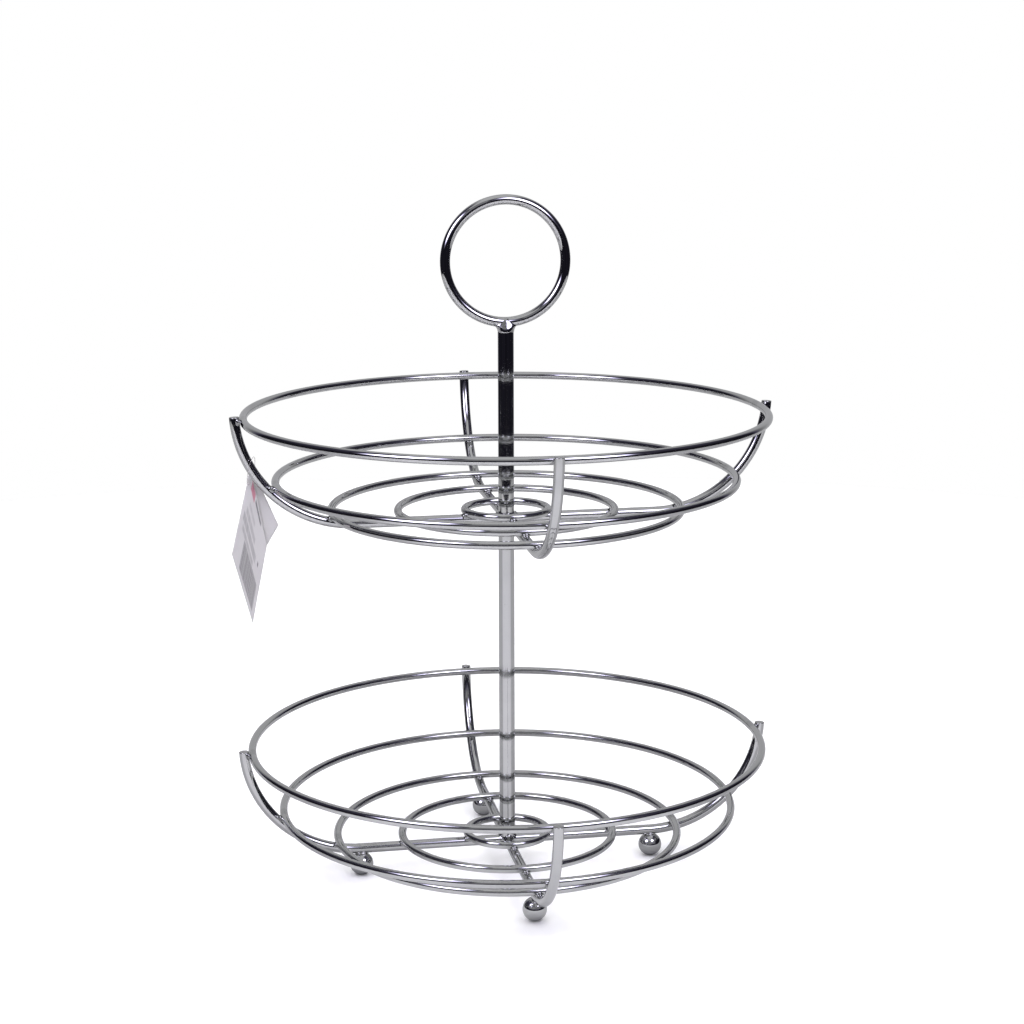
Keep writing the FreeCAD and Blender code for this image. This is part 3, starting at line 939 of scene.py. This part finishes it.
ROOM_DARK = 0.014
BEHIND = 0.54
CEILING_LINE = 0.66                     # the ceiling in front and behind, then straight above
CEILING_TOP = 0.70
DARK_TINT = (0.86, 0.80, 1.25, 1)
LIGHT_TINT = (0.97, 0.97, 1.0, 1)


def make_world():
    """White behind the object; for reflections, a dark room with a grey ceiling."""
    world = bpy.data.worlds.new("studio")
    bpy.context.scene.world = world
    world.use_nodes = True
    tree = world.node_tree
    tree.nodes.clear()
    direction = tree.nodes.new("ShaderNodeTexCoord").outputs["Generated"]
    split = tree.nodes.new("ShaderNodeSeparateXYZ")
    put(tree, split.inputs[0], direction)
    x, y, up = split.outputs
    facing = facing_camera(tree, x, y)

    def rise(low, high, from_value, to_value):
        """A value that changes between two heights above the horizon, in degrees."""
        return span(tree, up, math.sin(math.radians(low)), math.sin(math.radians(high)),
                    from_value, to_value)

    def share(wide, narrow):
        """1 within a turn from the camera's side, 0 beyond a wider one, in degrees."""
        return span(tree, facing, math.cos(math.radians(wide)), math.cos(math.radians(narrow)))

    def blend_in(base, extra, weight):
        kept = maths(tree, "MULTIPLY", base, maths(tree, "SUBTRACT", 1.0, weight))
        return maths(tree, "ADD", kept, maths(tree, "MULTIPLY", extra, weight))

    front = rise(6, 20, ROOM_DARK, 0.28)
    side = rise(14, 50, ROOM_DARK, 0.07)
    walls = blend_in(side, front, share(70, 45))
    streaks = noise(tree, combine(tree, facing, y, maths(tree, "MULTIPLY", up, 0.3)), 9.0, 3.0)
    walls = maths(tree, "MULTIPLY", walls, span(tree, streaks, 0.3, 0.7, 0.6, 1.4))
    behind = maths(tree, "SUBTRACT", 1.0, share(155, 125))
    walls = blend_in(walls, BEHIND, behind)
    in_line = span(tree, maths(tree, "ABSOLUTE", facing), 0.45, 0.80)
    ceiling = maths(tree, "MAXIMUM", rise(60, 74, 0.0, CEILING_TOP),
                    maths(tree, "MULTIPLY", rise(38, 55, 0.0, CEILING_LINE), in_line))
    strength = maths(tree, "MAXIMUM", walls, ceiling)
    room = tree.nodes.new("ShaderNodeBackground")
    put(tree, room.inputs["Color"],
        mix_colour(tree, span(tree, strength, 0.03, 0.30), DARK_TINT, LIGHT_TINT))
    put(tree, room.inputs["Strength"], strength)
    backdrop = tree.nodes.new("ShaderNodeBackground")
    backdrop.inputs["Color"].default_value = (1, 1, 1, 1)
    choose = tree.nodes.new("ShaderNodeMixShader")
    put(tree, choose.inputs[0], seen_directly(tree))
    put(tree, choose.inputs[1], room.outputs[0])
    put(tree, choose.inputs[2], backdrop.outputs[0])
    output = tree.nodes.new("ShaderNodeOutputWorld")
    put(tree, output.inputs["Surface"], choose.outputs[0])


# Name, turn from the camera's side in degrees, and height
LAMPS = [
    ("lamp_left", -44, 0.68),
    ("lamp_right", 36, 0.70),
]
LAMP_AIM = Vector((0, 0, 0.18))
LAMP_REACH = 0.70
LAMP_RADIUS = 0.34
LAMP_CORE = 5.4
LAMP_HALO = 1.2


def lamp_material():
    """A diffuser that is brightest in its middle and fades to its edge."""
    material = bpy.data.materials.new("lamp_diffuser")
    material.use_nodes = True
    tree = material.node_tree
    tree.nodes.clear()
    across = tree.nodes.new("ShaderNodeVectorMath")
    across.operation = "LENGTH"
    put(tree, across.inputs[0], tree.nodes.new("ShaderNodeTexCoord").outputs["Object"])
    reach = maths(tree, "DIVIDE", across.outputs["Value"], LAMP_RADIUS)
    glow = maths(tree, "ADD", span(tree, reach, 0.42, 0.82, LAMP_CORE, 0.0),
                 span(tree, reach, 0.45, 1.0, LAMP_HALO, 0.0))
    light = tree.nodes.new("ShaderNodeEmission")
    put(tree, light.inputs["Color"],
        mix_colour(tree, span(tree, reach, 0.2, 0.7), (0.96, 0.94, 1.0, 1), (0.74, 0.70, 1.0, 1)))
    put(tree, light.inputs["Strength"], glow)
    output = tree.nodes.new("ShaderNodeOutputMaterial")
    put(tree, output.inputs["Surface"], light.outputs[0])
    return material


def make_lamps():
    """Two round diffusers, one each side of the camera, seen only in reflections."""
    material = lamp_material()
    for name, turn, height in LAMPS:
        angle = math.radians(turn)
        place = (TOWARDS_CAMERA * math.cos(angle) + CAMERA_RIGHT * math.sin(angle)) * LAMP_REACH
        place.z = height
        points = []
        for around in round_angles(48):
            points.append((LAMP_RADIUS * math.cos(around), LAMP_RADIUS * math.sin(around), 0))
        mesh = bpy.data.meshes.new(name)
        mesh.from_pydata(points, [], [tuple(range(48))])
        mesh.materials.append(material)
        lamp = bpy.data.objects.new(name, mesh)
        bpy.context.scene.collection.objects.link(lamp)
        lamp.location = place
        lamp.rotation_mode = "QUATERNION"
        lamp.rotation_quaternion = (LAMP_AIM - place).to_track_quat("Z", "Y")
        lamp.visible_camera = False


DAYLIGHT_STRENGTH = 2.9
DAYLIGHT_SPREAD = math.radians(95)      # wide, so that its shadows are soft
DAYLIGHT_TILT = (math.radians(-4), math.radians(-6), 0)


def make_daylight():
    """An even soft light from above for the table and the tag, not mirrored in the chrome."""
    data = bpy.data.lights.new("soft_sky", "SUN")
    data.energy = DAYLIGHT_STRENGTH
    data.angle = DAYLIGHT_SPREAD
    sky = bpy.data.objects.new("soft_sky", data)
    bpy.context.scene.collection.objects.link(sky)
    sky.rotation_euler = DAYLIGHT_TILT
    sky.visible_glossy = False


make_camera()
make_floor()
make_world()
make_lamps()
make_daylight()
bpy.context.scene.view_settings.view_transform = "Standard"
